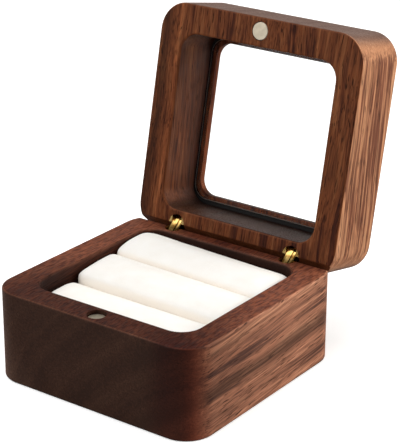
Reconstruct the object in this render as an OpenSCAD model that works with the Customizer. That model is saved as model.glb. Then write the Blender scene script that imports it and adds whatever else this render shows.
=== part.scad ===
// Ring display box: a hinged walnut box with a padded velvet insert and a
// glazed window in its lid, drawn with the lid standing open.
//
// The origin is the centre of the box's underside. +Z points up, the hinges
// lie towards +Y and the magnets towards -Y. Every piece of the lid is drawn
// as it lies on the shut box, and on_lid() then swings it open.

/* [Box] */
// Width of the box, side to side
box_w = 65; // [60:0.5:80]
// Depth of the box, front to back
box_d = 65; // [60:0.5:80]
// Height of the base block
base_h = 25.2; // [24:0.1:36]
// Height of the lid
lid_h = 18.4; // [17:0.1:26]
// Radius of the four upright corners
corner_r = 8; // [6.5:0.1:12]
// Radius of the small round-over on the outer edges
edge_r = 0.6; // [0.2:0.1:1.2]

/* [Ring well in the base] */
// Width of the rim round the well
rim_w = 7.6; // [7.2:0.1:9]
// Radius of the well's corners
well_r = 5.5; // [3:0.1:8]
// Thickness of the wood under the well
well_floor = 5; // [3:0.1:6]

/* [Lid recess and window] */
// Width of the lid's rim, left and right of its recess
lid_rim_side_w = 7.6; // [7.2:0.1:9]
// Width of the lid's rim, in front of and behind its recess
lid_rim_end_w = 8.1; // [7.2:0.1:9]
// Radius of the recess's corners
recess_r = 5; // [3.5:0.1:8]
// Thickness of the wood round the window, which is the ledge under the pane
panel_t = 2.4; // [1.5:0.1:4]
// How far the ledge laps over the pane's edge
pane_lap = 1.2; // [0.8:0.1:2.5]
// Radius of the window's corners
window_r = 4.5; // [3:0.1:6]
// How much smaller the pane's corner radius is than the recess's
pane_r_step = 0.4; // [0.2:0.1:2]
// Thickness of the pane
pane_t = 1.8; // [1.2:0.1:2.5]
// Ground edge on the pane's inner face
pane_bevel = 0.3; // [0.1:0.05:0.5]
// Width of the seal, left and right of the pane
seal_side_w = 0.5; // [0.3:0.1:2]
// Width of the seal, in front of and behind the pane
seal_end_w = 1.3; // [0.5:0.1:2.5]
// Thickness of the seal
seal_t = 1.2; // [0.6:0.1:1.4]

/* [Barrel hinges] */
// Angle between the shut and the open lid
open_angle = 102; // [90:1:108]
// Distance from a side face to the nearer hinge
hinge_inset = 13.5; // [12:0.5:18]
// Distance from the back face to the barrels' centre line
hinge_setback = 4.2; // [4:0.05:4.4]
// Diameter of a barrel
barrel_d = 5; // [4.8:0.05:5.2]
// Length of a barrel
barrel_l = 8.5; // [6:0.1:11]
// Depth of a pin below the end of its barrel
pin_depth = 1.7; // [1.5:0.05:1.9]
// Diameter of a pin
pin_d = 1; // [0.8:0.05:1.1]
// Length of a pin
pin_l = 4.4; // [4.1:0.05:4.6]
// Thickness of one hinge leaf
leaf_t = 1; // [0.8:0.02:1.04]
// Radius of the middle leaf's round ends
leaf_end_r = 1.75; // [1.6:0.01:1.85]
// How much smaller the two outer leaves' ends are
leaf_step = 0.3; // [0.1:0.05:0.4]
// Radius to which the packed leaves are turned
leaf_turned_r = 1.95; // [1.8:0.01:2]
// Number of glue grooves round a barrel
groove_count = 3; // [1:1:5]
// Depth of a glue groove
groove_depth = 0.2; // [0.1:0.05:0.3]

/* [Magnets] */
// Diameter of the two magnets
magnet_d = 5; // [4:0.1:6]
// Thickness of a magnet
magnet_t = 2; // [1:0.1:3]
// Bevel on a magnet's edges
magnet_bevel = 0.2; // [0.1:0.05:0.4]
// Depth of the base magnet's face under the rim
magnet_sunk = 1; // [0.2:0.1:2]

/* [Velvet insert] */
// Thickness of the card under the rolls
card_t = 1; // [0.5:0.1:2]
// Crest of the front roll, above the card
roll_front_h = 16.2; // [12:0.1:17]
// Crest of the middle roll, above the card
roll_middle_h = 18; // [14:0.1:18.5]
// Crest of the rear roll, above the card
roll_rear_h = 19; // [15:0.1:19.1]
// Fall of a roll's top from its crest to its edge
roll_crown = 1.1; // [0.6:0.1:2]
// Distance between the two ring slots
slot_spacing = 16.6; // [14:0.1:19]
// Width of a ring slot
slot_w = 0.2; // [0.1:0.05:0.5]
// Space between the rolls' ends and the wood
roll_end_gap = 0.9; // [0.4:0.1:2]
// Thickness of the velvet
velvet_t = 0.6; // [0.4:0.1:1]

/* [Fits] */
// Gap between the rim and the shut lid
seam_gap = 0.15; // [0.1:0.05:0.4]
// Gap left between the two rear bevels when the lid stands open
stop_gap = 0.1; // [0.05:0.05:0.3]
// Clearance round what is glued into a hole
glue_gap = 0.05; // [0.02:0.01:0.1]
// Clearance of a pin in a leaf
pin_gap = 0.05; // [0.02:0.01:0.08]
// Clearance between the leaves, and at each side of them
leaf_gap = 0.04; // [0.03:0.01:0.05]
// Clearance under a leaf's end, in its slot
leaf_end_gap = 0.25; // [0.15:0.05:0.5]
// Clearance round the card and the insert
insert_gap = 0.2; // [0.1:0.05:0.4]

/* [Hidden] */
$fn = 64;

cut = 1;                    // how far a cutting tool passes the face it cuts
leaf_count = 3;

well_w = box_w - 2 * rim_w;
well_d = box_d - 2 * rim_w;
recess_w = box_w - 2 * lid_rim_side_w;
recess_d = box_d - 2 * lid_rim_end_w;
recess_h = lid_h - panel_t;
pane_w = recess_w - 2 * seal_side_w;
pane_d = recess_d - 2 * seal_end_w;
pane_r = recess_r - pane_r_step;
window_w = pane_w - 2 * pane_lap;
window_d = pane_d - 2 * pane_lap;

// Hinges. Both pins lie on the barrels' centre line, pin_depth inside their
// barrels, and the leaves turn half as far as the lid.
half_turn = open_angle / 2;
hinge_spacing = box_w - 2 * hinge_inset;
hinge_y = box_d / 2 - hinge_setback;
seam_z = base_h + seam_gap / 2;
pin_reach = pin_depth + seam_gap / 2;      // from the middle of the seam to a pin
base_pin_z = seam_z - pin_reach;
lid_pin_z = seam_z + pin_reach;
// The line in the seam about which the lid turns from shut to open.
swing_y = hinge_y + pin_reach * tan(half_turn / 2);
// The lid's pins stand this much further from the base's at half of the swing.
pin_slide = 2 * pin_reach * (1 / cos(half_turn / 2) - 1);
// Rear bevels just deep enough to let the lid lean back to its stop.
bevel = (box_d / 2 - swing_y) * tan(half_turn) + stop_gap;

barrel_r = barrel_d / 2;
leaf_pitch = leaf_t + leaf_gap;
leaf_slot_w = leaf_count * leaf_pitch + leaf_gap;
leaf_slot_h = pin_depth + leaf_end_r + leaf_end_gap;
leaf_bore_r = pin_d / 2 + pin_gap;

magnet_y = -(box_d - rim_w) / 2;

card_z = well_floor;
roll_z = card_z + card_t;
insert_w = well_w - 2 * insert_gap;
insert_d = well_d - 2 * insert_gap;
insert_r = well_r - insert_gap;
roll_l = well_w - 2 * roll_end_gap;
middle_roll_d = slot_spacing - slot_w;
outer_roll_d = (insert_d - slot_spacing - slot_w) / 2;
outer_roll_y = (slot_spacing + slot_w + outer_roll_d) / 2;

walnut = "#6b4231";
velvet = "#f4efe2";
foam = "#e8e2cf";
greyboard = "#9a958c";
brass_tone = "#d9a941";
nickel = "#cfc8bc";

// ---------------------------------------------------------------- helpers

// A solid with a rounded-rectangle plan. The child is one half of its side
// profile, drawn with X measured outwards from a corner's centre and Y as
// height; z0 and z1 are the heights that it spans.
module swept(w, d, r, z0, z1) {
    for (sx = [-1, 1], sy = [-1, 1])
        translate([sx * (w / 2 - r), sy * (d / 2 - r), 0])
            rotate_extrude() children();
    swept_bar(w, d - 2 * r, r, z0, z1) children();
    rotate([0, 0, 90]) swept_bar(d, w - 2 * r, r, z0, z1) children();
}

// The straight part of a swept solid, w across and l long.
module swept_bar(w, l, r, z0, z1) {
    rotate([90, 0, 0])
        linear_extrude(l, center = true) {
            translate([-(w / 2 - r), z0]) square([w - 2 * r, z1 - z0]);
            translate([w / 2 - r, 0]) children();
            mirror([1, 0]) translate([w / 2 - r, 0]) children();
        }
}

// Half profile of a block whose outer edges are rounded over.
module soft_profile(r, h, e) {
    square([r - e, h]);
    translate([0, e]) square([r, h - 2 * e]);
    for (y = [e, h - e]) translate([r - e, y]) circle(e);
}

// Half profile of a hollow from z0 up to z1 whose mouth is rounded over.
module mouth_profile(r, z0, z1, e) {
    translate([0, z0]) square([r, z1 - z0 + cut]);
    difference() {
        translate([0, z1 - e]) square([r + e, e + cut]);
        translate([r + e, z1 - e]) circle(e);
    }
}

// An upright prism with a rounded-rectangle plan.
module rounded_prism(w, d, r, h) {
    swept(w, d, r, 0, h) square([r, h]);
}

// Bodies of the lid and the leaves, moved from shut to open.
module on_leaf() {
    translate([0, hinge_y, base_pin_z])
        rotate([-half_turn, 0, 0])
            translate([0, -hinge_y, -base_pin_z])
                children();
}

module on_lid() {
    translate([0, swing_y, seam_z])
        rotate([-open_angle, 0, 0])
            translate([0, -swing_y, -seam_z])
                children();
}

// Turns a piece of the base over the seam, as its twin in the lid.
module over_seam() {
    translate([0, 0, seam_z]) mirror([0, 0, 1]) translate([0, 0, -seam_z]) children();
}

// What is cut away for the rear bevel of the base.
module rear_bevel() {
    translate([0, box_d / 2, base_h])
        rotate([0, 90, 0])
            linear_extrude(box_w + 2 * cut, center = true)
                polygon([
                    [-cut, -bevel - cut], [-cut, cut],
                    [bevel + cut, cut], [bevel, 0], [0, -bevel]
                ]);
}

// ------------------------------------------------------------------- base

module base_block() {
    color(walnut)
        difference() {
            swept(box_w, box_d, corner_r, 0, base_h)
                soft_profile(corner_r, base_h, edge_r);
            swept(well_w, well_d, well_r, well_floor, base_h + cut)
                mouth_profile(well_r, well_floor, base_h, edge_r);
            translate([0, magnet_y, base_h - magnet_sunk - magnet_t])
                cylinder(h = magnet_sunk + magnet_t + cut, d = magnet_d + 2 * glue_gap);
            for (side = [-1, 1])
                translate([side * hinge_spacing / 2, hinge_y, base_h - barrel_l])
                    cylinder(h = barrel_l + cut, r = barrel_r + glue_gap);
            rear_bevel();
        }
}

// A disc magnet that stands on Z = 0.
module magnet() {
    color(nickel)
        translate([0, magnet_y, 0])
            rotate_extrude()
                polygon([
                    [0, 0], [magnet_d / 2 - magnet_bevel, 0],
                    [magnet_d / 2, magnet_bevel], [magnet_d / 2, magnet_t - magnet_bevel],
                    [magnet_d / 2 - magnet_bevel, magnet_t], [0, magnet_t]
                ]);
}

module base_magnet() {
    translate([0, 0, base_h - magnet_sunk - magnet_t]) magnet();
}

// ----------------------------------------------------------------- insert

module insert_card() {
    color(greyboard)
        translate([0, 0, card_z])
            rounded_prism(insert_w, insert_d, insert_r, card_t);
}

// Side view of a roll: d deep, h high at its crest, with skin taken off its
// top and sides.
module roll_profile(d, h, skin) {
    crown_r = (pow(d / 2, 2) + pow(roll_crown, 2)) / (2 * roll_crown);
    intersection() {
        translate([-d / 2 + skin, 0]) square([d - 2 * skin, h]);
        translate([0, h - crown_r]) circle(crown_r - skin, $fn = 180);
    }
}

// One roll, kept inside the well's rounded corners.
module roll(y, d, h, skin) {
    intersection() {
        translate([0, y, roll_z])
            rotate([90, 0, 90])
                linear_extrude(roll_l - 2 * skin, center = true)
                    roll_profile(d, h, skin);
        translate([0, 0, roll_z])
            rounded_prism(insert_w - 2 * skin, insert_d - 2 * skin, insert_r - skin, h + cut);
    }
}

module roll_foam(y, d, h) {
    color(foam) roll(y, d, h, velvet_t);
}

// The velvet wraps the foam's top and four sides, down to the card.
module roll_velvet(y, d, h) {
    color(velvet)
        difference() {
            roll(y, d, h, 0);
            roll(y, d, h, velvet_t);
        }
}

module front_roll_foam() { roll_foam(-outer_roll_y, outer_roll_d, roll_front_h); }
module front_roll_velvet() { roll_velvet(-outer_roll_y, outer_roll_d, roll_front_h); }
module middle_roll_foam() { roll_foam(0, middle_roll_d, roll_middle_h); }
module middle_roll_velvet() { roll_velvet(0, middle_roll_d, roll_middle_h); }
module rear_roll_foam() { roll_foam(outer_roll_y, outer_roll_d, roll_rear_h); }
module rear_roll_velvet() { roll_velvet(outer_roll_y, outer_roll_d, roll_rear_h); }

// -------------------------------------------------------------------- lid

// The lid's own frame: Z = 0 is its rim, and Z = lid_h its outer face.
module in_lid() {
    on_lid() translate([0, 0, base_h + seam_gap]) children();
}

// Half profile of the recess, its mouth at the rim.
module recess_profile() {
    translate([0, recess_h]) mirror([0, 1])
        mouth_profile(recess_r, 0, recess_h, edge_r);
}

module lid_frame() {
    color(walnut)
        in_lid()
            difference() {
                swept(box_w, box_d, corner_r, 0, lid_h)
                    soft_profile(corner_r, lid_h, edge_r);
                swept(recess_w, recess_d, recess_r, -cut, recess_h) recess_profile();
                swept(window_w, window_d, window_r, recess_h - cut, lid_h + cut)
                    mouth_profile(window_r, recess_h - cut, lid_h, edge_r);
                translate([0, magnet_y, -cut])
                    cylinder(h = magnet_t + cut, d = magnet_d + 2 * glue_gap);
                for (side = [-1, 1])
                    translate([side * hinge_spacing / 2, hinge_y, -cut])
                        cylinder(h = barrel_l + cut, r = barrel_r + glue_gap);
                mirror([0, 0, 1]) translate([0, 0, -base_h]) rear_bevel();
            }
}

module lid_magnet() { in_lid() magnet(); }

// Half profile of the pane, with the ground edge towards the rim.
module pane_profile() {
    z0 = recess_h - pane_t;
    polygon([
        [0, z0], [pane_r - pane_bevel, z0], [pane_r, z0 + pane_bevel],
        [pane_r, recess_h], [0, recess_h]
    ]);
}

module window_pane() {
    color([0.85, 0.93, 0.95, 0.35])
        in_lid()
            swept(pane_w, pane_d, pane_r, recess_h - pane_t, recess_h) pane_profile();
}

module window_seal() {
    color("#17130f")
        in_lid()
            translate([0, 0, recess_h - seal_t])
                difference() {
                    rounded_prism(recess_w, recess_d, recess_r, seal_t);
                    translate([0, 0, -cut])
                        rounded_prism(pane_w, pane_d, pane_r, seal_t + 2 * cut);
                }
}

// ----------------------------------------------------------------- hinges

// A barrel of the base. Its slot takes the leaves, its two cheeks hold the
// pin, and its end is bevelled with the wood.
module barrel(side) {
    color(brass_tone)
        difference() {
            translate([side * hinge_spacing / 2, hinge_y, base_h - barrel_l])
                difference() {
                    cylinder(h = barrel_l, r = barrel_r);
                    barrel_grooves();
                    translate([-leaf_slot_w / 2, -barrel_d, barrel_l - leaf_slot_h])
                        cube([leaf_slot_w, 2 * barrel_d, leaf_slot_h + cut]);
                }
            pin_rod(side, barrel_d);
            rear_bevel();
        }
}

module barrel_grooves() {
    pitch = (barrel_l - leaf_slot_h) / (groove_count + 1);
    for (i = [1 : groove_count])
        translate([0, 0, i * pitch])
            rotate_extrude()
                translate([barrel_r - groove_depth, -pitch / 4])
                    square([groove_depth + cut, pitch / 2]);
}

// A rod of the pin's diameter through the base barrel.
module pin_rod(side, l) {
    translate([side * hinge_spacing / 2, hinge_y, 0]) across(base_pin_z, l, pin_d / 2);
}

module pin(side) {
    color(brass_tone) pin_rod(side, pin_l);
}

// One leaf: a bar with round ends about the two pins, a bore for the base's
// pin and a short slot for the lid's.
module leaf(end_r) {
    difference() {
        union() {
            for (z = [base_pin_z, lid_pin_z]) across(z, leaf_t, end_r);
            translate([-leaf_t / 2, -end_r, base_pin_z])
                cube([leaf_t, 2 * end_r, lid_pin_z - base_pin_z]);
        }
        for (z = [base_pin_z, lid_pin_z, lid_pin_z + pin_slide])
            across(z, leaf_t + 2 * cut, leaf_bore_r);
        translate([-leaf_t / 2 - cut, -leaf_bore_r, lid_pin_z])
            cube([leaf_t + 2 * cut, 2 * leaf_bore_r, pin_slide]);
    }
}

// A cylinder along X at the height z.
module across(z, l, r) {
    translate([0, 0, z]) rotate([0, 90, 0]) cylinder(h = l, r = r, center = true);
}

// The pack of leaves, turned round on its outer edges.
module hinge_leaves(side) {
    color(brass_tone)
        on_leaf()
            translate([side * hinge_spacing / 2, hinge_y, 0])
                for (i = [-1 : 1])
                    intersection() {
                        translate([i * leaf_pitch, 0, 0])
                            leaf(leaf_end_r - abs(i) * leaf_step);
                        translate([0, 0, base_pin_z - barrel_d])
                            cylinder(h = lid_pin_z - base_pin_z + 2 * barrel_d, r = leaf_turned_r);
                    }
}

module left_base_barrel() { barrel(-1); }
module right_base_barrel() { barrel(1); }
module left_lid_barrel() { on_lid() over_seam() barrel(-1); }
module right_lid_barrel() { on_lid() over_seam() barrel(1); }
module left_base_pin() { pin(-1); }
module right_base_pin() { pin(1); }
module left_lid_pin() { on_lid() over_seam() pin(-1); }
module right_lid_pin() { on_lid() over_seam() pin(1); }
module left_hinge_leaves() { hinge_leaves(-1); }
module right_hinge_leaves() { hinge_leaves(1); }

// --------------------------------------------------------------- the part

base_block();
insert_card();
front_roll_foam();
front_roll_velvet();
middle_roll_foam();
middle_roll_velvet();
rear_roll_foam();
rear_roll_velvet();
base_magnet();
lid_frame();
window_pane();
window_seal();
lid_magnet();
left_base_barrel();
left_base_pin();
left_hinge_leaves();
left_lid_barrel();
left_lid_pin();
right_base_barrel();
right_base_pin();
right_hinge_leaves();
right_lid_barrel();
right_lid_pin();
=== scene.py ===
"""Ring display box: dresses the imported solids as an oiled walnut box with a
velvet ring insert, a glazed lid, barrel hinges and magnets."""

from __future__ import annotations

import logging
import math
from dataclasses import dataclass, field
from enum import Enum
from typing import Any, Sequence

import bmesh
import bpy
import numpy as np
from mathutils import Euler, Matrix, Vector

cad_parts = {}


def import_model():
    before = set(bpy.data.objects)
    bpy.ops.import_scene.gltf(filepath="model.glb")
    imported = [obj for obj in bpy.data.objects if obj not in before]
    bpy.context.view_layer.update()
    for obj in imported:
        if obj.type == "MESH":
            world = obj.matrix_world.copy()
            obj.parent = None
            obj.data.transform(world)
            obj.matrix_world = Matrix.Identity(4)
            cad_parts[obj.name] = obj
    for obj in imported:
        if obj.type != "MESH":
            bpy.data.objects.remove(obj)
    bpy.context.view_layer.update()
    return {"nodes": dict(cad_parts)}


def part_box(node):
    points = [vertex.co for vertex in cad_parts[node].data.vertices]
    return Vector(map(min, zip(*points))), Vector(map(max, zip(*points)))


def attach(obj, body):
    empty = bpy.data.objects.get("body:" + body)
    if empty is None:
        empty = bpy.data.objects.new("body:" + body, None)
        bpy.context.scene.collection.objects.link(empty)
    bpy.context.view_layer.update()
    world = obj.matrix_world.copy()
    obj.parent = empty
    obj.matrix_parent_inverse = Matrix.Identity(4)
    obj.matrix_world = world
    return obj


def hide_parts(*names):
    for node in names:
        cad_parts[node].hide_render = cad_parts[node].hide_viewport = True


Tree = bpy.types.NodeTree
Node = bpy.types.Node
Source = bpy.types.Node | bpy.types.NodeSocket
Material = bpy.types.Material
Piece = bpy.types.Object
Pair = tuple[float, float]
Triple = tuple[float, float, float]

LOG = logging.getLogger("ring_display_box")
MM = 0.001  # metres
OPEN_ANGLE = 102.0  # degrees from the shut lid to the open one, as drawn
RAMP_MM = 100.0  # the height that a whole colour ramp stands for
LENGTHWAYS = (0.0, 1.0, 0.0)  # the line of a log
UPWARDS = (0.0, 0.0, 1.0)


# --------------------------------------------------------------------- tools


def linear(code: str) -> tuple[float, float, float, float]:
    """Turn an sRGB hex colour to Blender's linear colour.

    Args:
        code: A # and six hex digits.

    Returns:
        Red, green, blue and an alpha of 1, from 0 to 1.
    """
    parts = [int(code[i : i + 2], 16) / 255 for i in (1, 3, 5)]
    red, green, blue = (c / 12.92 if c <= 0.04045 else ((c + 0.055) / 1.055) ** 2.4 for c in parts)
    return red, green, blue, 1.0


def add(
    tree: Tree,
    kind: str,
    links: dict[Any, Source] | None = None,
    values: dict[Any, Any] | None = None,
    stops: Sequence[tuple[float, str]] = (),
    **settings: Any,
) -> Node:
    """Add one node to a tree.

    Args:
        tree: The tree that gets the node.
        kind: The node's type.
        links: Input name or number, and the socket that feeds it, or the node
            whose result does.
        values: Input name or number, and its constant.
        stops: Places and hex colours of a colour ramp.
        settings: Properties of the node.

    Returns:
        The new node.
    """
    made = tree.nodes.new(kind)
    for name, value in settings.items():
        setattr(made, name, value)
    for key, value in (values or {}).items():
        made.inputs[key].default_value = value
    for key, source in (links or {}).items():
        if isinstance(source, Node):
            source = next(socket for socket in source.outputs if socket.enabled)
        tree.links.new(source, made.inputs[key])
    if stops:
        ramp = made.color_ramp
        while len(ramp.elements) < len(stops):
            ramp.elements.new(1.0)
        for element, (place, code) in zip(ramp.elements, stops):
            element.position = place
            element.color = linear(code)
    return made


def new_material(name: str) -> tuple[Material, Tree]:
    """Make an empty node material.

    Args:
        name: The material's name.

    Returns:
        The material and its node tree, with no nodes in it.
    """
    material = bpy.data.materials.new(name)
    material.use_nodes = True
    material.node_tree.nodes.clear()
    return material, material.node_tree


def put_on(material: Material, *pieces: Piece) -> None:
    """Give pieces one material in place of all that they have.

    Args:
        material: The finish.
        pieces: The pieces that get it.
    """
    for piece in pieces:
        piece.data.materials.clear()
        piece.data.materials.append(material)


def mesh_object(name: str, points: np.ndarray, faces: list[list[int]]) -> Piece:
    """Make a mesh object from points and faces.

    Args:
        name: The object's name.
        points: An array of N by 3 places, in metres.
        faces: Corner numbers of each face.

    Returns:
        The object, linked to the scene, at the origin.
    """
    mesh = bpy.data.meshes.new(name)
    mesh.from_pydata([tuple(p) for p in points], [], faces)
    mesh.validate()
    mesh.update()
    obj = bpy.data.objects.new(name, mesh)
    bpy.context.scene.collection.objects.link(obj)
    return obj


def coordinates(mesh: bpy.types.Mesh) -> np.ndarray:
    """Read a mesh's points as an array of N by 3."""
    flat = np.empty(len(mesh.vertices) * 3, np.float64)
    mesh.vertices.foreach_get("co", flat)
    return flat.reshape(-1, 3)


def swung(axis: Triple, degrees: float) -> Vector:
    """Give the line on which a piece that is swung about X has one of its axes.

    Args:
        axis: The axis, with the piece unswung.
        degrees: How far the piece is swung.

    Returns:
        The axis on the swung piece.
    """
    line = Vector(axis)
    line.rotate(Euler((-math.radians(degrees), 0, 0)))
    return line


def squareness(tree: Tree, normal: Source, axis: Vector) -> Node:
    """Add how squarely a face looks along an axis, either way.

    Args:
        tree: The material's tree.
        normal: The face's normal.
        axis: The axis, of length 1.

    Returns:
        0 on faces that lie along the axis, 1 on faces square to it.
    """
    facing = add(tree, "ShaderNodeVectorMath", {0: normal}, {1: tuple(axis)}, operation="DOT_PRODUCT")
    squarely = add(tree, "ShaderNodeMath", {0: facing}, operation="ABSOLUTE")
    return squarely


def in_millimetres(tree: Tree) -> tuple[Source, Source]:
    """Add the place on a piece.

    Args:
        tree: The material's tree.

    Returns:
        The place in millimetres, and the face's normal.
    """
    place = add(tree, "ShaderNodeTexCoord")
    point = add(
        tree, "ShaderNodeMapping", {"Vector": place.outputs["Object"]}, {"Scale": (1 / MM,) * 3}
    )
    return point, place.outputs["Normal"]


def close(
    tree: Tree,
    colour: Source,
    height: Source,
    relief: Pair,
    links: dict[str, Source],
    constants: dict[str, Any],
) -> None:
    """Close a material with its relief, its surface and its output.

    Args:
        tree: The material's tree.
        colour: The base colour.
        height: The height of the relief.
        relief: How strong the relief is, and how deep it is in mm.
        links: What feeds the surface's other inputs.
        constants: The surface's constants.
    """
    strength, depth_mm = relief
    bump = add(
        tree, "ShaderNodeBump", {"Height": height}, {"Strength": strength, "Distance": depth_mm * MM}
    )
    shader = add(
        tree, "ShaderNodeBsdfPrincipled", {"Base Color": colour, "Normal": bump, **links}, constants
    )
    add(tree, "ShaderNodeOutputMaterial", {"Surface": shader})


# ------------------------------------------------------------------ finishes


@dataclass(frozen=True)
class Span:
    """A stretch of some measure, and the values that its two ends are turned to."""

    start: float
    stop: float
    low: float = 0.0
    high: float = 1.0

    def ends(self) -> dict[str, float]:
        """Name the four numbers as the node's inputs are named."""
        names = ("From Min", "From Max", "To Min", "To Max")
        return dict(zip(names, (self.start, self.stop, self.low, self.high)))


class Grain(Enum):
    """How a block's long grain is turned about X against its log, in degrees."""

    BASE = -3.0
    LID = OPEN_ANGLE - 3.0


@dataclass(frozen=True)
class DarkPatch:
    """A darker patch, full near its middle and gone at its end. Most are dark places in the log; one is
    painted shade.
    """

    middle: Triple  # mm
    pull: Triple  # weight of each axis
    full_mm: float
    end_mm: float
    tint: str  # what it multiplies the colour by


@dataclass(frozen=True)
class Ring:
    """A growth ring that stands out from its neighbours."""

    radius_mm: float  # from the pith
    half_mm: float  # half of its width
    tone: float  # what it multiplies the colour by in its middle


@dataclass(frozen=True)
class Streak:
    """A pattern of noise that is drawn out along the grain."""

    width_mm: float
    ratio: float  # how many times longer than wide one streak is
    detail: float
    turned: float = 0.0  # degrees about X by which it runs off the log's length

    def noise(self, tree: Tree, point: Source) -> Node:
        """Add the noise.

        Args:
            tree: The material's tree.
            point: The place in the log, in millimetres.

        Returns:
            The noise's value.
        """
        turn = Euler((math.radians(self.turned), 0, 0))
        aligned = add(tree, "ShaderNodeMapping", {"Vector": point}, {"Rotation": turn})
        scale = 1 / self.width_mm
        drawn = add(
            tree,
            "ShaderNodeVectorMath",
            {0: aligned},
            {1: (scale, scale / self.ratio, scale)},
            operation="MULTIPLY",
        )
        noise = add(
            tree,
            "ShaderNodeTexNoise",
            {"Vector": drawn},
            {"Scale": 1.0, "Detail": self.detail, "Roughness": 0.55},
        )
        return noise


@dataclass(frozen=True)
class OiledWalnut:
    """Black walnut, sanded and oiled: satin brown, with long figure and open pores.

    The pattern is cut out of one solid log that lies along Y, so long faces
    show streaks and end faces show the arcs of the growth rings.
    """

    name: str
    grain: Grain
    turned: float = 0.0  # degrees about X by which the block itself is swung
    pith: Pair = (60.0, -45.0)  # mm, X and Z of the log's heart
    shift: Triple = (0.0, 0.0, 0.0)  # mm, the block's place in the log
    dark: str = "#5f3e33"
    middle: str = "#9d6a52"
    light: str = "#c28a6c"
    pore: str = "#2a1712"
    dark_wood_and_shade: tuple[DarkPatch, ...] = ()
    rings: tuple[Ring, ...] = ()
    # the grain wanders 2 to 3 mm over the length of the box
    wander_mm: Triple = (28.0, 70.0, 28.0)  # length of one wander along each axis
    wander_by: Triple = (7.0, 0.0, 7.0)
    # the figure is a sum of growth bands, colour streaks and clouds
    band_mm: float = 5.5
    streaks: Streak = Streak(0.6, 90.0, 3.0)
    clouds: Streak = Streak(16.0, 2.2, 2.0)
    shares: Triple = (0.36, 0.50, 0.26)  # of bands, streaks and clouds
    tones_at: tuple[float, ...] = (0.46, 0.55, 0.60, 0.68)  # dark, middle, middle, light
    # fibres are drawn coarser than real ones and run off the colour bands, and
    # vessels, which are 0.1 to 0.25 mm wide, are widened too, so that both show
    fibres: Streak = Streak(0.38, 60.0, 2.0, -3.5)
    fibre_tone: Span = Span(0.3, 0.7, 0.60, 1.36)
    vessels: Streak = Streak(0.36, 15.0, 1.0, -3.5)
    pore_open: Span = Span(0.62, 0.70, 0.0, 0.8)
    # oil leaves the pores dull and the hard bands a little brighter
    roughness: Span = Span(0.35, 0.72, 0.46, 0.70)
    pore_sink: float = -1.6  # a pore's depth against a fibre's height
    relief: Pair = (0.35, 0.05)  # strength, and depth in mm
    # end grain drinks more oil: it is darker and its figure goes faint; its grey-blue tint is a painted
    # sheen of glancing light on the oil
    end_tint_and_sheen: str = "#b7c9d7"
    end_face: Span = Span(0.5, 0.97)
    end_calm: Span = Span(0.1, 0.6, 0.0, 0.6)
    # the sanded face at the seam cuts the fibres to short flecks
    flecks: Streak = Streak(0.55, 4.5, 4.0)
    flecks_at: Pair = (0.40, 0.60)
    fleck_dark: str = "#491e13"
    fleck_light: str = "#824830"
    seam_face: Span = Span(0.90, 0.98, 0.0, 0.85)
    # edges are paler, partly from wear and partly as a painted highlight of the light their rounding
    # catches: the tone rises off the walls and falls on the rim
    arris_wear_and_highlight: float = 1.1
    arris_rise: Pair = (0.15, 0.5)
    arris_fall: Pair = (0.8, 0.97)
    # painted shade: faces that look inwards, into the recesses, are darkened by tints by mm along the
    # turned Z
    axis_mm: Pair = (0.0, -10.0)  # Y and Z of a line that outward faces turn from
    recess_shade_reach: Span = Span(20 * MM, 27 * MM, 1.0, 0.0)  # metres from that line
    inner: tuple[tuple[float, str], ...] = ((0.0, "#ffffff"), (1.0, "#ffffff"))

    def build(self) -> Material:
        """Make the material.

        Returns:
            The walnut material.
        """
        material, tree = new_material(self.name)
        place = add(tree, "ShaderNodeTexCoord")
        point, normal = place.outputs["Object"], place.outputs["Normal"]
        bent = self._log_point(tree, point)
        fibres = self.fibres.noise(tree, bent)
        vessels = self.vessels.noise(tree, bent)
        pores = add(tree, "ShaderNodeMapRange", {"Value": vessels}, self.pore_open.ends())
        figured = self._figure(tree, bent, fibres, pores)
        along = squareness(tree, normal, swung(LENGTHWAYS, self.grain.value))
        seam = squareness(tree, normal, swung(UPWARDS, self.turned))
        sawn = self._sawn_faces(tree, figured, along, seam, bent)
        recess_shaded = self._paint_recess_shade(tree, sawn, point, normal)
        colour = self._add_dark_wood_and_shade(tree, recess_shaded, bent)
        dull = add(tree, "ShaderNodeMapRange", {"Value": vessels}, self.roughness.ends())
        height = add(
            tree, "ShaderNodeMath", {0: pores, 2: fibres}, {1: self.pore_sink}, operation="MULTIPLY_ADD"
        )
        close(
            tree,
            colour,
            height,
            self.relief,
            {"Roughness": dull},
            {"IOR": 1.5, "Specular IOR Level": 0.12},
        )
        return material

    def _log_point(self, tree: Tree, place: Source) -> Node:
        """Add the place in the log, in mm, with a slow wander of the grain.

        Args:
            tree: The material's tree.
            place: The place on the piece, in metres.

        Returns:
            The place in the log.
        """
        turn = Euler((math.radians(self.grain.value), 0, 0))
        point = add(
            tree,
            "ShaderNodeMapping",
            {"Vector": place},
            {"Location": self.shift, "Rotation": turn, "Scale": (1 / MM,) * 3},
        )
        slow = add(
            tree,
            "ShaderNodeMapping",
            {"Vector": point},
            {"Scale": tuple(1 / length for length in self.wander_mm)},
        )
        drift = add(
            tree,
            "ShaderNodeTexNoise",
            {"Vector": slow},
            {"Scale": 1.0, "Detail": 2.0, "Roughness": 0.5},
        )
        centred = add(
            tree,
            "ShaderNodeVectorMath",
            {0: drift.outputs["Color"]},
            {1: (0.5,) * 3},
            operation="SUBTRACT",
        )
        bent = add(
            tree,
            "ShaderNodeVectorMath",
            {0: centred, 2: point},
            {1: self.wander_by},
            operation="MULTIPLY_ADD",
        )
        return bent

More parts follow.
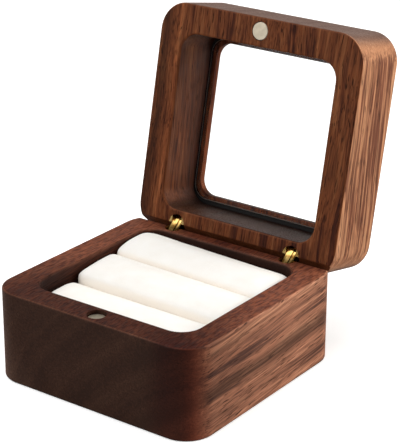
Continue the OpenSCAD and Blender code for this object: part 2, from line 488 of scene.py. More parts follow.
    @staticmethod
    def _reach(tree: Tree, bent: Source, middle: Triple, pull: Triple) -> Node:
        """Add how far a place in the log lies from a middle.

        Args:
            tree: The material's tree.
            bent: The place in the log.
            middle: The middle, in mm.
            pull: The weight of each axis, 0 where it doesn't count.

        Returns:
            The distance in mm.
        """
        off = add(tree, "ShaderNodeVectorMath", {0: bent}, {1: middle}, operation="SUBTRACT")
        pulled = add(tree, "ShaderNodeVectorMath", {0: off}, {1: pull}, operation="MULTIPLY")
        reach = add(tree, "ShaderNodeVectorMath", {0: pulled}, operation="LENGTH")
        return reach

    def _figure(self, tree: Tree, bent: Source, fibres: Source, pores: Source) -> Node:
        """Add the growth bands, colour streaks, fibres and pores.

        Args:
            tree: The material's tree.
            bent: The place in the log.
            fibres: The fibres' noise.
            pores: How far a place lies in a pore.

        Returns:
            The wood's colour on a long face.
        """
        radius = self._reach(tree, bent, (self.pith[0], 0.0, self.pith[1]), (1.0, 0.0, 1.0))
        bands = add(
            tree,
            "ShaderNodeTexNoise",
            {"W": radius},
            {"Scale": 1 / self.band_mm, "Detail": 2.0, "Roughness": 0.5},
            noise_dimensions="1D",
        )
        band_share, streak_share, cloud_share = self.shares
        figure = add(tree, "ShaderNodeMath", {0: bands}, {1: band_share}, operation="MULTIPLY")
        for pattern, share in ((self.streaks, streak_share), (self.clouds, cloud_share)):
            figure = add(
                tree,
                "ShaderNodeMath",
                {0: pattern.noise(tree, bent), 2: figure},
                {1: share},
                operation="MULTIPLY_ADD",
            )
        tones = (self.dark, self.middle, self.middle, self.light)
        tone = add(tree, "ShaderNodeValToRGB", {"Fac": figure}, stops=tuple(zip(self.tones_at, tones)))
        strength = add(tree, "ShaderNodeMapRange", {"Value": fibres}, self.fibre_tone.ends())
        for ring in self.rings:
            off = add(tree, "ShaderNodeMath", {0: radius}, {1: ring.radius_mm}, operation="SUBTRACT")
            away = add(tree, "ShaderNodeMath", {0: off}, operation="ABSOLUTE")
            toned = add(
                tree,
                "ShaderNodeMapRange",
                {"Value": away},
                Span(0.0, ring.half_mm, ring.tone, 1.0).ends(),
                interpolation_type="SMOOTHSTEP",
            )
            strength = add(tree, "ShaderNodeMath", {0: strength, 1: toned}, operation="MULTIPLY")
        combed = add(tree, "ShaderNodeVectorMath", {0: tone, "Scale": strength}, operation="SCALE")
        pored = add(
            tree, "ShaderNodeMix", {0: pores, 6: combed}, {7: linear(self.pore)}, data_type="RGBA"
        )
        return pored

    def _sawn_faces(
        self, tree: Tree, figured: Source, along: Source, seam: Source, bent: Source
    ) -> Node:
        """Add the calm end grain with its painted sheen, the flecked seam face, and the worn edges with
        their painted highlight.

        Args:
            tree: The material's tree.
            figured: The colour of a long face.
            along: How squarely the face cuts the grain.
            seam: How squarely the face looks to the seam.
            bent: The place in the log.

        Returns:
            The wood's colour on any face.
        """
        end_face, even = (
            add(
                tree,
                "ShaderNodeMapRange",
                {"Value": along},
                span.ends(),
                interpolation_type="SMOOTHSTEP",
            )
            for span in (self.end_face, self.end_calm)
        )
        calm = add(
            tree, "ShaderNodeMix", {0: even, 6: figured}, {7: linear(self.middle)}, data_type="RGBA"
        )
        # painted sheen: the end tint darkens the end grain and greys it, for glancing light on the oil
        ended = add(
            tree,
            "ShaderNodeMix",
            {0: end_face, 6: calm},
            {7: linear(self.end_tint_and_sheen)},
            data_type="RGBA",
            blend_type="MULTIPLY",
        )
        fleck = add(
            tree,
            "ShaderNodeValToRGB",
            {"Fac": self.flecks.noise(tree, bent)},
            stops=tuple(zip(self.flecks_at, (self.fleck_dark, self.fleck_light))),
        )
        top_face = add(tree, "ShaderNodeMapRange", {"Value": seam}, self.seam_face.ends())
        topped = add(tree, "ShaderNodeMix", {0: top_face, 6: ended, 7: fleck}, data_type="RGBA")
        # painted highlight: rounded edges are made paler, for wear and for the light they catch
        rising, falling = (
            add(
                tree,
                "ShaderNodeMapRange",
                {"Value": seam},
                Span(*limits, 1.0, tone).ends(),
                interpolation_type="SMOOTHSTEP",
            )
            for limits, tone in (
                (self.arris_rise, self.arris_wear_and_highlight),
                (self.arris_fall, 1 / self.arris_wear_and_highlight),
            )
        )
        worn_and_painted_light = add(tree, "ShaderNodeMath", {0: rising, 1: falling}, operation="MULTIPLY")
        edged = add(tree, "ShaderNodeVectorMath", {0: topped, "Scale": worn_and_painted_light}, operation="SCALE")
        return edged

    def _paint_recess_shade(self, tree: Tree, colour: Source, place: Source, normal: Source) -> Node:
        """Add painted shade to faces that look inwards, into the recesses.

        Args:
            tree: The material's tree.
            colour: The wood's colour.
            place: The place on the piece, in metres.
            normal: The face's normal.

        Returns:
            The colour with its painted shade.
        """
        axis = (0.0, self.axis_mm[0] * MM, self.axis_mm[1] * MM)
        from_axis = add(tree, "ShaderNodeVectorMath", {0: place}, {1: axis}, operation="SUBTRACT")
        outwards = add(tree, "ShaderNodeVectorMath", {0: from_axis, 1: normal}, operation="DOT_PRODUCT")
        # painted shade: full on faces that look in towards the axis, none on faces that look out
        inner = add(
            tree,
            "ShaderNodeMapRange",
            {"Value": outwards},
            self.recess_shade_reach.ends(),
            interpolation_type="SMOOTHSTEP",
        )
        depth = add(
            tree,
            "ShaderNodeVectorMath",
            {0: place},
            {1: tuple(swung(UPWARDS, self.turned) / MM / RAMP_MM)},
            operation="DOT_PRODUCT",
        )
        recess_shade_tint = add(
            tree,
            "ShaderNodeValToRGB",
            {"Fac": depth},
            stops=tuple((reach / RAMP_MM, tint) for reach, tint in self.inner),
        )
        recess_shaded = add(
            tree,
            "ShaderNodeMix",
            {0: inner, 6: colour, 7: recess_shade_tint},
            data_type="RGBA",
            blend_type="MULTIPLY",
        )
        return recess_shaded

    def _add_dark_wood_and_shade(self, tree: Tree, colour: Source, bent: Source) -> Node:
        """Add the log's dark places and the patch of painted shade.

        Args:
            tree: The material's tree.
            colour: The wood's colour.
            bent: The place in the log.

        Returns:
            The darkened colour.
        """
        for heart in self.dark_wood_and_shade:
            share = add(
                tree,
                "ShaderNodeMapRange",
                {"Value": self._reach(tree, bent, heart.middle, heart.pull)},
                Span(heart.full_mm, heart.end_mm, 1.0, 0.0).ends(),
                interpolation_type="SMOOTHSTEP",
            )
            colour = add(
                tree,
                "ShaderNodeMix",
                {0: share, 6: colour},
                {7: linear(heart.tint)},
                data_type="RGBA",
                blend_type="MULTIPLY",
            )
        return colour


@dataclass(frozen=True)
class TurnedMetal:
    """A polished metal: bright, with fine polishing marks and clouds of tarnish."""

    name: str
    colour: str
    shade: str
    roughness: float
    grain_mm: float = 0.12  # spacing of the polishing marks
    marks_at: Pair = (0.3, 0.7)  # the noise in the marks and between
    wear: Pair = (0.8, 1.25)  # shares of the roughness, in the marks and between
    relief: Pair = (0.08, 0.02)  # strength, and depth in mm
    cloud_mm: float = 1.6  # clouds of tarnish
    tones_at: Pair = (0.35, 0.62)  # the noise at the shade and at the colour
    shade_below: Span = Span(-2.0, -1.0, 0.12, 1.0)  # mm up: painted shade below, full colour above

    def build(self) -> Material:
        """Make the material.

        Returns:
            The metal material.
        """
        material, tree = new_material(self.name)
        point, _ = in_millimetres(tree)
        marks = add(
            tree, "ShaderNodeTexNoise", {"Vector": point}, {"Scale": 1 / self.grain_mm, "Detail": 2.0}
        )
        tarnish = add(
            tree, "ShaderNodeTexNoise", {"Vector": point}, {"Scale": 1 / self.cloud_mm, "Detail": 3.0}
        )
        tone = add(
            tree,
            "ShaderNodeValToRGB",
            {"Fac": tarnish},
            stops=tuple(zip(self.tones_at, (self.shade, self.colour))),
        )
        height = add(tree, "ShaderNodeSeparateXYZ", {0: point})
        # painted shade: the colour is darkened below a height
        painted_shade = add(
            tree,
            "ShaderNodeMapRange",
            {"Value": height.outputs[2]},
            self.shade_below.ends(),
            interpolation_type="SMOOTHSTEP",
        )
        lit = add(tree, "ShaderNodeVectorMath", {0: tone, "Scale": painted_shade}, operation="SCALE")
        worn = Span(*self.marks_at, *(self.roughness * share for share in self.wear))
        rough = add(tree, "ShaderNodeMapRange", {"Value": marks}, worn.ends())
        close(tree, lit, marks, self.relief, {"Roughness": rough}, {"Metallic": 1.0})
        return material


@dataclass(frozen=True)
class CastAcrylic:
    """Clear cast acrylic sheet: no colour, a hard thin highlight, faint dust.

    Its ground bevel scatters the light, a thin pale line, and the walls behind
    the bevel are bedded in the black seal.
    """

    name: str = "clear cast acrylic"
    body: str = "#fbfdfd"
    bevel: str = "#b7aaa0"
    bedded: str = "#0a0706"
    shadow: str = "#f4f8f8"  # what the sheet takes from light that passes it
    wiping_mm: float = 9.0  # width of the smears left by wiping
    dust: Span = Span(0.45, 0.75, 0.0, 0.03)
    edge: Span = Span(0.8, 0.98, 0.9, 0.0)  # how squarely a face looks out
    edge_at: Pair = (0.3, 0.6)  # the same, for bedded walls and the bevel

    def build(self) -> Material:
        """Make the material.

        Returns:
            The clear material, which lets lamp light through.
        """
        material, tree = new_material(self.name)
        point, normal = in_millimetres(tree)
        wiping = add(
            tree, "ShaderNodeTexNoise", {"Vector": point}, {"Scale": 1 / self.wiping_mm, "Detail": 4.0}
        )
        rough = add(tree, "ShaderNodeMapRange", {"Value": wiping}, self.dust.ends())
        clear = add(
            tree,
            "ShaderNodeBsdfPrincipled",
            {"Roughness": rough},
            {"Base Color": linear(self.body), "IOR": 1.49, "Transmission Weight": 1.0},
        )
        squarely = squareness(tree, normal, swung(UPWARDS, OPEN_ANGLE))
        edge = add(tree, "ShaderNodeMapRange", {"Value": squarely}, self.edge.ends())
        glued = add(
            tree,
            "ShaderNodeValToRGB",
            {"Fac": squarely},
            stops=tuple(zip(self.edge_at, (self.bedded, self.bevel))),
        )
        ground = add(tree, "ShaderNodeBsdfDiffuse", {"Color": glued})
        sheet = add(tree, "ShaderNodeMixShader", {0: edge, 1: clear, 2: ground})
        ray = add(tree, "ShaderNodeLightPath")
        through = add(tree, "ShaderNodeBsdfTransparent", values={"Color": linear(self.shadow)})
        mixed = add(
            tree, "ShaderNodeMixShader", {0: ray.outputs["Is Shadow Ray"], 1: sheet, 2: through}
        )
        add(tree, "ShaderNodeOutputMaterial", {"Surface": mixed})
        return material


@dataclass(frozen=True)
class SoftMatter:
    """A dull porous material, such as rubber, board or foam: speckled and matt."""

    name: str
    colour: str
    shade: str
    speck_mm: float
    roughness: float
    relief_mm: float
    relief: float = 0.4  # its strength
    tones_at: Pair = (0.35, 0.65)
    unevenness: float = 0.1  # share by which the roughness varies

    def build(self) -> Material:
        """Make the material.

        Returns:
            The matt material.
        """
        material, tree = new_material(self.name)
        point, _ = in_millimetres(tree)
        speck = add(
            tree, "ShaderNodeTexNoise", {"Vector": point}, {"Scale": 1 / self.speck_mm, "Detail": 3.0}
        )
        tone = add(
            tree,
            "ShaderNodeValToRGB",
            {"Fac": speck},
            stops=tuple(zip(self.tones_at, (self.shade, self.colour))),
        )
        low = self.roughness * (1 - self.unevenness)
        high = min(1.0, self.roughness * (1 + self.unevenness))
        rough = add(tree, "ShaderNodeMapRange", {"Value": speck}, {"To Min": low, "To Max": high})
        close(tree, tone, speck, (self.relief, self.relief_mm), {"Roughness": rough}, {})
        return material


@dataclass(frozen=True)
class CottonVelvet:
    """Ivory cotton velvet: short upright pile, matt, pale at grazing view."""

    name: str = "ivory cotton velvet"
    colour: str = "#faf8f4"
    shade: str = "#f4f0e9"
    side: str = "#f8f1e7"  # painted bounce light: upright sides take a warmer tint, for warm light thrown back off the walnut
    sheen: str = "#fff8ec"
    brushed_mm: float = 5.0  # patches of pile that lie alike
    pile_mm: float = 0.35  # tufts of the pile, drawn coarse enough to show
    tuft_share: float = 0.5  # of the tufts against the patches
    tones_at: Pair = (0.35, 1.0)
    upright: Span = Span(0.25, 0.9, 1.0, 0.0)  # how much a face looks upwards
    relief: Pair = (0.7, 0.12)  # strength, and depth in mm

    def build(self) -> Material:
        """Make the material.

        Returns:
            The velvet material.
        """
        material, tree = new_material(self.name)
        point, normal = in_millimetres(tree)
        brushed = add(
            tree,
            "ShaderNodeTexNoise",
            {"Vector": point},
            {"Scale": 1 / self.brushed_mm, "Detail": 3.0, "Roughness": 0.6},
        )
        tufts = add(
            tree,
            "ShaderNodeTexNoise",
            {"Vector": point},
            {"Scale": 1 / self.pile_mm, "Detail": 3.0, "Roughness": 0.7},
        )
        mixed = add(
            tree,
            "ShaderNodeMath",
            {0: tufts, 2: brushed},
            {1: self.tuft_share},
            operation="MULTIPLY_ADD",
        )
        tone = add(
            tree,
            "ShaderNodeValToRGB",
            {"Fac": mixed},
            stops=tuple(zip(self.tones_at, (self.shade, self.colour))),
        )
        facing = add(tree, "ShaderNodeSeparateXYZ", {0: normal})
        # painted bounce light: faces that look sideways take the warmer side tint
        sideways = add(
            tree,
            "ShaderNodeMapRange",
            {"Value": facing.outputs[2]},
            self.upright.ends(),
            interpolation_type="SMOOTHSTEP",
        )
        bounce_tinted = add(
            tree, "ShaderNodeMix", {0: sideways, 6: tone}, {7: linear(self.side)}, data_type="RGBA"
        )
        constants = {
            "Roughness": 0.95,
            "Specular IOR Level": 0.15,
            "Sheen Weight": 0.35,
            "Sheen Roughness": 0.4,
            "Sheen Tint": linear(self.sheen),
        }
        close(tree, bounce_tinted, tufts, self.relief, {}, constants)
        return material


# -------------------------------------------------------------- sub-assemblies


@dataclass
class WalnutBox:
    """The two walnut blocks, each dressed out of its own place in a log."""

    nodes: dict[str, Piece]
    base_finish: OiledWalnut = OiledWalnut(
        "oiled walnut, base",
        Grain.BASE,
        rings=(Ring(63.5, 3.6, 0.36), Ring(74.5, 1.2, 0.8), Ring(56.5, 0.9, 0.6)),
        dark_wood_and_shade=(
            DarkPatch((0.0, -34.0, 24.0), (1.0, 1.0, 1.0), 24.0, 48.0, "#8f7f76"),
            # painted shade: the rear rim, under the open lid and by the hinges
            DarkPatch((0.0, 33.0, 25.0), (0.24, 1.0, 1.0), 5.0, 10.0, "#b39f97"),
            DarkPatch((28.5, -33.0, 0.0), (1.0, 1.0, 0.0), 3.0, 12.0, "#cd9789"),
        ),
        # painted shade, darkest low on the well's walls and lighter towards the rim
        inner=((20.0, "#5f4a40"), (24.4, "#7c6458"), (25.1, "#ac9a90")),
    )
    lid_finish: OiledWalnut = OiledWalnut(
        "oiled walnut, lid",
        Grain.LID,
        turned=OPEN_ANGLE,
        pith=(-90.0, 30.0),
        shift=(0.0, 20.0, 0.0),
        dark="#734430",
        middle="#bc8561",
        light="#e0ad85",
        rings=(Ring(59.6, 3.0, 0.44), Ring(64.1, 0.9, 1.6)),
        band_mm=3.0,
        streaks=Streak(0.8, 42.0, 3.0),
        shares=(0.34, 0.54, 0.24),
        # painted sheen: a strong grey-blue end tint, for glancing light on the oiled end grain
        end_tint_and_sheen="#98aacc",
        seam_face=Span(0.90, 0.98, 0.0, 0.0),
        arris_wear_and_highlight=1.2,
        axis_mm=(30.0, 55.0),
        # painted shade, darker down the recess walls towards the pane, lighter again on the ledge
        # behind it
        inner=(
            (24.5, "#8f715a"),
            (28.0, "#8b6b50"),
            (36.0, "#4a3120"),
            (39.0, "#3a2417"),
            (39.3, "#8c6652"),
        ),
    )

    def dress(self) -> None:
        """Put the wood on both blocks."""
        put_on(self.base_finish.build(), self.nodes["base_block"])
        put_on(self.lid_finish.build(), self.nodes["lid_frame"])
        LOG.info("walnut: base_block, lid_frame")


@dataclass
class GlazedWindow:
    """The acrylic pane and the black seal that it is bedded in; the seal's black also stands in for the
    dark shade at the foot of the recess walls.
    """

    nodes: dict[str, Piece]
    sheet: CastAcrylic = CastAcrylic()
    # painted shade: a near-black seal, for real black bedding and for the shade in the corner round the
    # pane
    rubber_and_painted_shade: SoftMatter = SoftMatter(
        "black foam rubber", "#0d0906", "#050302", speck_mm=0.4, roughness=0.95, relief_mm=0.03
    )

    def dress(self) -> None:
        """Put the clear sheet and the rubber on their pieces."""
        put_on(self.sheet.build(), self.nodes["window_pane"])
        put_on(self.rubber_and_painted_shade.build(), self.nodes["window_seal"])
        LOG.info("window: window_pane, window_seal")


@dataclass
class BarrelHinges:
    """Both barrel hinges: barrels, pins and leaves."""

    nodes: dict[str, Piece]
    brass: TurnedMetal = TurnedMetal("polished turned brass", "#f2d28a", "#a5762f", 0.2)
    # the leaves rub on each other in the base's slot and are a little rougher; below the seam, down in
    # the slot, they get painted shade
    worn_and_painted_light: TurnedMetal = TurnedMetal(
        "polished brass, painted shade in the slot",
        "#f0c878",
        "#8a6028",
        0.24,
        shade_below=Span(25.1, 26.8, 0.12, 1.0),
    )

    def dress(self) -> None:
        """Put the brass on every hinge piece."""
        brass, worn_and_painted_light = self.brass.build(), self.worn_and_painted_light.build()
        for side in ("left", "right"):
            for part in ("base_barrel", "base_pin", "lid_barrel", "lid_pin"):
                put_on(brass, self.nodes[f"{side}_{part}"])
            put_on(worn_and_painted_light, self.nodes[f"{side}_hinge_leaves"])
            LOG.info("hinge: %s barrels, pins and leaves", side)


@dataclass
class Magnets:
    """The two nickel-plated disc magnets."""

    nodes: dict[str, Piece]
    plate: TurnedMetal = TurnedMetal("nickel plate on a magnet", "#cdc2ad", "#bfb49f", 0.42)

    def dress(self) -> None:
        """Put the nickel on both discs."""
        put_on(self.plate.build(), self.nodes["base_magnet"], self.nodes["lid_magnet"])
        LOG.info("magnets: base_magnet, lid_magnet")


@dataclass
class VelvetRoll:
    """One padded roll of the insert, swollen from a cut block by cloth simulation."""

    key: str
    front_z: float  # mm, top at its front edge
    crest_z: float  # mm, highest line
    crest_at: float  # share of the depth at which the crest lies
    rear_z: float  # mm, top at its rear edge
    front_corner: float  # mm, plan radius of its two front corners
    rear_corner: float  # mm, plan radius of its two rear corners
    lean: float  # mm lower per mm to the right, as it was pushed in
    fullness: float = 2.2  # how square the arch is, 2 is an ellipse
    end_drop: float = 0.35  # mm, how much lower its ends are
    end_flat: int = 4  # power with which the drop sets in towards the ends
    edge_r: float = 0.9  # mm, softness of the upper edges
    inset: float = 0.20  # mm, the block starts this much inside its room
    end_bulge: float = 0.5  # mm, how far its ends press out to the wood
    skin: float = 0.8  # mm from the pile's tips down to the foam
    least: float = 0.05  # mm, radius and half width that a plan keeps
    spare: float = 0.01  # mm that a corner leaves of the plan's half width
    corner_steps: int = 8
    side_steps: int = 24
    wall_rings: int = 9
    edge_rings: int = 7
    top_rings: int = 18
    top_crowding: float = 1.6  # more than 1 sets the top's rings closer by its edge
    work_scale: float = 10.0  # the simulation runs ten times life size
    voxel: float = 0.5  # mm
    glued: float = 5.0  # mm, height of the foot that is glued down
    frames: int = 20
    travel: float = 0.55  # mm, how far a point may swell
    smoothing: int = 8  # passes that round the voxel steps off
    # mm, the low and the high corner of its room, taken from the frame
    lo: Vector = field(default_factory=Vector)
    hi: Vector = field(default_factory=Vector)

    def outline(self, shrink: float) -> np.ndarray:
        """Draw the roll's plan, drawn in by some distance.

        Args:
            shrink: How far inside the full plan, in mm.

        Returns:
            Points anticlockwise round the plan, in mm.
        """
        x0, x1 = self.lo.x - self.end_bulge + shrink, self.hi.x + self.end_bulge - shrink
        y0, y1 = self.lo.y + shrink, self.hi.y - shrink
        limit = min(x1 - x0, y1 - y0) / 2 - self.spare
        front = min(max(self.front_corner - shrink, self.least), limit)
        rear = min(max(self.rear_corner - shrink, self.least), limit)
        corners = (
            (x1, y0, -1, 1, front, -90),
            (x1, y1, -1, -1, rear, 0),
            (x0, y1, 1, -1, rear, 90),
            (x0, y0, 1, 1, front, 180),
        )
        points: list[Pair] = []
        for x, y, sx, sy, r, start in corners:
            for step in range(self.corner_steps + 1):
                a = math.radians(start + 90 * step / self.corner_steps)
                points.append((x + sx * r + r * math.cos(a), y + sy * r + r * math.sin(a)))
        dense: list[Pair] = []
        for i, (ax, ay) in enumerate(points):
            bx, by = points[(i + 1) % len(points)]
            ends_corner = i % (self.corner_steps + 1) == self.corner_steps
            cuts = self.side_steps if ends_corner else 1
            for k in range(cuts):
                t = k / cuts
                dense.append((ax + (bx - ax) * t, ay + (by - ay) * t))
        return np.array(dense)

    def top(self, x: np.ndarray, y: np.ndarray) -> np.ndarray:
        """Give the height of the roll's top.

        Args:
            x: Places across the box, in mm.
            y: Places along the box, in mm.

        Returns:
            Heights in mm.
        """
        crest_y = self.lo.y + (self.hi.y - self.lo.y) * self.crest_at
        height = np.full_like(y, self.crest_z)
        for edge_y, edge_z in ((self.lo.y, self.front_z), (self.hi.y, self.rear_z)):
            share = np.clip((crest_y - y) / (crest_y - edge_y), 0, 1)
            arch = (1 - share**self.fullness) ** (1 / self.fullness)
            height -= (self.crest_z - edge_z) * (1 - arch)
        return height - self.end_drop * np.abs(x / self.hi.x) ** self.end_flat - self.lean * x

    def block(self, name: str, inset: float) -> Piece:
        """Build a closed block in the roll's shape.

        Args:
            name: The object's name.
            inset: How far inside the roll's room its faces lie, in mm.

        Returns:
            The object, at work scale.
        """
        rings: list[np.ndarray] = []
        base = self.outline(inset)
        shoulder = self.top(base[:, 0], base[:, 1]) - inset - self.edge_r
        floor = self.lo.z
        for t in np.linspace(0, 1, self.wall_rings):
            z = floor + (shoulder - floor) * t
            rings.append(np.column_stack([base, z]))
        for a in np.linspace(0, math.pi / 2, self.edge_rings)[1:]:
            inner = self.outline(inset + self.edge_r * (1 - math.cos(a)))
            z = self.top(inner[:, 0], inner[:, 1]) - inset
            z -= self.edge_r * (1 - math.sin(a))
            rings.append(np.column_stack([inner, z]))
        reach = (self.hi.y - self.lo.y) / 2 - self.least
        first = inset + self.edge_r
        shares = np.linspace(0, 1, self.top_rings)[1:] ** self.top_crowding
        for d in first + (reach - first) * shares:
            inner = self.outline(d)
            z = self.top(inner[:, 0], inner[:, 1]) - inset
            rings.append(np.column_stack([inner, z]))
        count = len(base)
        points = np.vstack(rings) * MM * self.work_scale
        faces = [list(range(count))[::-1]]
        for r in range(len(rings) - 1):
            for i in range(count):
                j = (i + 1) % count
                a, b = r * count, (r + 1) * count
                faces.append([a + i, a + j, b + j, b + i])
        last = (len(rings) - 1) * count
        faces.append([last + i for i in range(count)])
        obj = mesh_object(name, points, faces)
        remesh = obj.modifiers.new("even skin", "REMESH")
        remesh.mode = "VOXEL"
        remesh.voxel_size = self.voxel * MM * self.work_scale
        self._bake(obj)
        return obj

    @staticmethod
    def _bake(obj: Piece) -> None:
        """Put what an object's modifiers make in the place of its mesh.

        Args:
            obj: The object, which is left without modifiers.
        """
        graph = bpy.context.evaluated_depsgraph_get()
        mesh = bpy.data.meshes.new_from_object(obj.evaluated_get(graph))
        obj.modifiers.clear()
        old = obj.data
        obj.data = mesh
        bpy.data.meshes.remove(old)

    def swell(self, obj: Piece) -> None:
        """Blow the skin up a little against its glued foot, as stuffed cloth sits.

        Args:
            obj: The skin at work scale.
        """
        rest = coordinates(obj.data)
        unit = MM * self.work_scale
        foot = obj.vertex_groups.new(name="glued foot")
        low = np.nonzero(rest[:, 2] < (self.lo.z + self.glued) * unit)[0]
        foot.add([int(i) for i in low], 1.0, "REPLACE")
        cloth = obj.modifiers.new("velvet over foam", "CLOTH")
        cloth.settings.quality = 5
        cloth.settings.mass = 0.3
        cloth.settings.tension_stiffness = 22
        cloth.settings.compression_stiffness = 22
        cloth.settings.shear_stiffness = 9
        cloth.settings.bending_stiffness = 2.0
        cloth.settings.use_pressure = True
        cloth.settings.uniform_pressure_force = 4
        cloth.settings.vertex_group_mass = "glued foot"
        cloth.settings.effector_weights.gravity = 0
        cloth.point_cache.frame_start = 1
        cloth.point_cache.frame_end = self.frames
        scene = bpy.context.scene
        for frame_number in range(1, self.frames + 1):
            scene.frame_set(frame_number)
        graph = bpy.context.evaluated_depsgraph_get()
        swollen = obj.evaluated_get(graph).to_mesh()
        moved = coordinates(swollen) - rest
        obj.evaluated_get(graph).to_mesh_clear()
        obj.modifiers.clear()
        scene.frame_set(1)
        length = np.linalg.norm(moved, axis=1, keepdims=True)
        cap = self.travel * unit
        moved *= cap / (cap + length)
        obj.data.vertices.foreach_set("co", (rest + moved).ravel())
        obj.data.update()
        LOG.info("%s swelled by up to %.2f mm", obj.name, length.max() / unit)

    def finish(self, obj: Piece) -> None:
        """Bring the skin to life size, keep it in its room and smooth it.

        Args:
            obj: The skin at work scale.
        """
        points = coordinates(obj.data) / self.work_scale
        lo, hi = self.lo * MM, self.hi * MM
        bulge = self.end_bulge * MM
        points[:, 0] = np.clip(points[:, 0], lo.x - bulge, hi.x + bulge)
        points[:, 1] = np.clip(points[:, 1], lo.y, hi.y)
        points[:, 2] = np.maximum(points[:, 2], lo.z)
        obj.data.vertices.foreach_set("co", points.ravel())
        obj.data.update()
        work = bmesh.new()
        work.from_mesh(obj.data)
        axes = {f"use_axis_{axis}": True for axis in "xyz"}
        for _ in range(self.smoothing):
            bmesh.ops.smooth_vert(work, verts=work.verts, factor=0.5, **axes)
        bmesh.ops.recalc_face_normals(work, faces=work.faces)
        work.to_mesh(obj.data)
        work.free()
        smooth = obj.modifiers.new("even pile", "SUBSURF")
        smooth.levels = 1
        smooth.render_levels = 1
        self._bake(obj)
        obj.data.shade_smooth()

    def build(self, velvet: Material, foam: Material) -> None:
        """Make the roll's cover and its foam in place of their plain solids.

        Args:
            velvet: The cover's finish.
            foam: The filling's finish.
        """
        node = f"{self.key}_roll_velvet"
        low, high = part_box(node)
        self.lo, self.hi = low / MM, high / MM
        cover = self.block(f"velvet_{self.key}_roll", self.inset)
        self.swell(cover)
        filling = self.block(f"foam_{self.key}_roll", self.inset + self.skin)
        for obj, material, replaced, slot in (
            (cover, velvet, node, "ivory_velvet"),
            (filling, foam, f"{self.key}_roll_foam", "foam"),
        ):
            self.finish(obj)
            put_on(material, obj)
            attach(obj, "base")
            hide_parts(replaced)
            LOG.info("roll: %s with %d faces", obj.name, len(obj.data.polygons))


@dataclass
class VelvetInsert:
    """The insert: three velvet rolls over foam on a card."""

    nodes: dict[str, Piece]
    # front_z, crest_z, crest_at, rear_z, front_corner, rear_corner and lean
    rolls: tuple[VelvetRoll, ...] = (
        VelvetRoll("front", 20.6, 22.0, 0.66, 20.1, 5.0, 0.9, 0.004),
        VelvetRoll("middle", 22.2, 24.0, 0.80, 22.5, 0.9, 0.9, 0.020),
        VelvetRoll("rear", 22.9, 25.2, 0.58, 22.4, 0.9, 5.0, 0.030),
    )
    velvet: CottonVelvet = CottonVelvet()
    foam: SoftMatter = SoftMatter(
        "open-cell foam", "#efe8d4", "#d8cfb8", speck_mm=0.5, roughness=0.95, relief_mm=0.1
    )
    board: SoftMatter = SoftMatter(
        "grey board", "#a8a198", "#8b857c", speck_mm=0.7, roughness=0.9, relief_mm=0.03
    )

    def build(self) -> None:
        """Make the rolls and dress the card under them."""
        velvet, foam = self.velvet.build(), self.foam.build()
        for roll in self.rolls:
            roll.build(velvet, foam)
        put_on(self.board.build(), self.nodes["insert_card"])
        LOG.info("insert: card dressed")


# ----------------------------------------------------------------- the studio


@dataclass(frozen=True)
class Softbox:
    """A square lamp that shines on the middle of the box."""

    name: str
    place: Triple  # metres
    width: float  # metres
    watts: float
    colour: str = "#ffffff"

    def hang(self, aim: Triple) -> None:
        """Put the lamp in its place.

        Args:
            aim: The place that it looks at, in metres.
        """
        data = bpy.data.lights.new(self.name, "AREA")
        data.shape = "SQUARE"
        data.size = self.width
        data.energy = self.watts
        data.color = linear(self.colour)[:3]
        lamp = bpy.data.objects.new(self.name, data)
        bpy.context.scene.collection.objects.link(lamp)
        lamp.location = self.place
        lamp.rotation_mode = "QUATERNION"
        lamp.rotation_quaternion = (Vector(aim) - Vector(self.place)).to_track_quat("-Z", "Y")


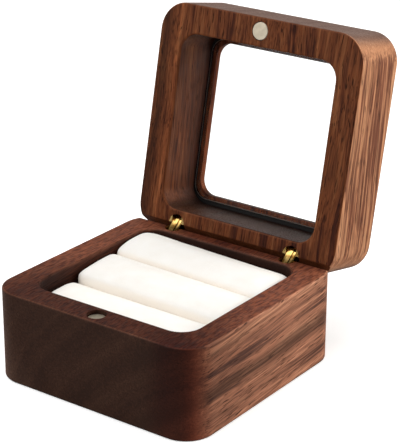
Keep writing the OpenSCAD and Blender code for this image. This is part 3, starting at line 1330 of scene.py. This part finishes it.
@dataclass
class Studio:
    """The camera, a white floor and soft lamps."""

    azimuth: float = 36.106  # degrees
    elevation: float = 22.021  # degrees
    roll: float = 0.2375  # degrees
    distance: float = 428.99  # mm
    target: Triple = (10.615, 0.0, 42.956)  # mm
    lens: float = 152.9  # mm, on a sensor 36 mm wide
    # place, width and watts
    lamps: tuple[Softbox, ...] = (
        Softbox("back right softbox", (0.56, 0.36, 0.32), 0.45, 4.6, "#fff9f2"),
        Softbox("top softbox", (-0.16, -0.08, 0.72), 0.80, 4.05),
        Softbox("front fill", (-0.30, -0.68, 0.47), 0.50, 2.35),
    )
    lamps_aim: Triple = (0.0, 0.0, 0.04)  # metres
    ambient: float = 0.185  # strength of the light from all round
    # oiled wood and brass mirror a dimmer room than the backdrop, and a darker
    # table than the floor
    mirrored: float = 0.3
    table: str = "#3a3632"
    floor: str = "#bdbdbd"
    lit_floor: str = "#f4f4f4"
    floor_half: float = 3.0  # metres
    # past the lamps' reach the floor turns into the white backdrop
    backdrop: Span = Span(0.3, 0.9, 0.45, 1.0)  # metres off the middle, to its glow
    white: str = "#ffffff"  # at a strength of 1 it shows as plain white

    def build_camera(self) -> None:
        """Put the camera where the box is seen from the front right and above."""
        azimuth, elevation = math.radians(self.azimuth), math.radians(self.elevation)
        back = Vector(
            (
                math.sin(azimuth) * math.cos(elevation),
                -math.cos(azimuth) * math.cos(elevation),
                math.sin(elevation),
            )
        )
        data = bpy.data.cameras.new("studio camera")
        data.sensor_fit = "HORIZONTAL"
        data.sensor_width = 36.0
        data.lens = self.lens
        data.clip_start = 0.01
        camera = bpy.data.objects.new("studio camera", data)
        bpy.context.scene.collection.objects.link(camera)
        camera.location = (Vector(self.target) + back * self.distance) * MM
        camera.rotation_mode = "QUATERNION"
        level = (-back).to_track_quat("-Z", "Y")
        tilt = Euler((0, 0, math.radians(self.roll))).to_quaternion()
        camera.rotation_quaternion = level @ tilt
        bpy.context.scene.camera = camera

    def build_world(self) -> None:
        """Make surroundings that light softly and look plain white."""
        world = bpy.data.worlds.new("white studio")
        bpy.context.scene.world = world
        world.use_nodes = True
        tree = world.node_tree
        tree.nodes.clear()
        seen = self._seen_rays(tree)
        soft, bright = (
            add(
                tree, "ShaderNodeBackground", values={"Color": linear(self.white), "Strength": strength}
            )
            for strength in (self.ambient, 1.0)
        )
        mixed = add(tree, "ShaderNodeMixShader", {0: seen, 1: soft, 2: bright})
        add(tree, "ShaderNodeOutputWorld", {"Surface": mixed})

    def _seen_rays(self, tree: Tree) -> Node:
        """Tell rays that show the background from rays that light the box.

        Args:
            tree: The tree to add to.

        Returns:
            1 for camera and transmission rays, less for glossy ones.
        """
        ray = add(tree, "ShaderNodeLightPath")
        clear = add(
            tree,
            "ShaderNodeMath",
            {0: ray.outputs["Is Camera Ray"], 1: ray.outputs["Is Transmission Ray"]},
            operation="MAXIMUM",
        )
        mirrored = add(
            tree,
            "ShaderNodeMath",
            {0: ray.outputs["Is Glossy Ray"]},
            {1: self.mirrored},
            operation="MULTIPLY",
        )
        both = add(tree, "ShaderNodeMath", {0: clear, 1: mirrored}, operation="MAXIMUM")
        return both

    def build_floor(self) -> None:
        """Lay a white floor that keeps the box's soft shadow."""
        half = self.floor_half
        points = np.array([(-half, -half, 0), (half, -half, 0), (half, half, 0), (-half, half, 0)])
        floor = mesh_object("floor", points, [[0, 1, 2, 3]])
        material, tree = new_material("matt white floor")
        seen = self._seen_rays(tree)
        ray = add(tree, "ShaderNodeLightPath")
        table = add(
            tree,
            "ShaderNodeMix",
            {0: ray.outputs["Is Glossy Ray"]},
            {6: linear(self.floor), 7: linear(self.table)},
            data_type="RGBA",
        )
        dim = add(tree, "ShaderNodeBsdfDiffuse", {"Color": table})
        bright = add(tree, "ShaderNodeBsdfDiffuse", values={"Color": linear(self.lit_floor)})
        place = add(tree, "ShaderNodeTexCoord")
        away = add(tree, "ShaderNodeVectorMath", {0: place.outputs["Object"]}, operation="LENGTH")
        glow = add(tree, "ShaderNodeMapRange", {"Value": away}, self.backdrop.ends())
        white = add(tree, "ShaderNodeEmission", {"Strength": glow}, {"Color": linear(self.white)})
        lifted = add(tree, "ShaderNodeAddShader", {0: bright, 1: white})
        mixed = add(tree, "ShaderNodeMixShader", {0: seen, 1: dim, 2: lifted})
        add(tree, "ShaderNodeOutputMaterial", {"Surface": mixed})
        put_on(material, floor)

    def build(self) -> None:
        """Set up the whole studio."""
        bpy.context.scene.view_settings.view_transform = "Standard"
        self.build_camera()
        for lamp in self.lamps:
            lamp.hang(self.lamps_aim)
        self.build_world()
        self.build_floor()
        LOG.info("studio: camera, %d lamps, floor", len(self.lamps))


def main() -> None:
    """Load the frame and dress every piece."""
    logging.basicConfig(level=logging.INFO, format="%(name)s: %(message)s")
    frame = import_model()
    nodes = frame["nodes"]
    Studio().build()
    WalnutBox(nodes).dress()
    GlazedWindow(nodes).dress()
    BarrelHinges(nodes).dress()
    Magnets(nodes).dress()
    VelvetInsert(nodes).build()


if __name__ == "__main__":
    main()
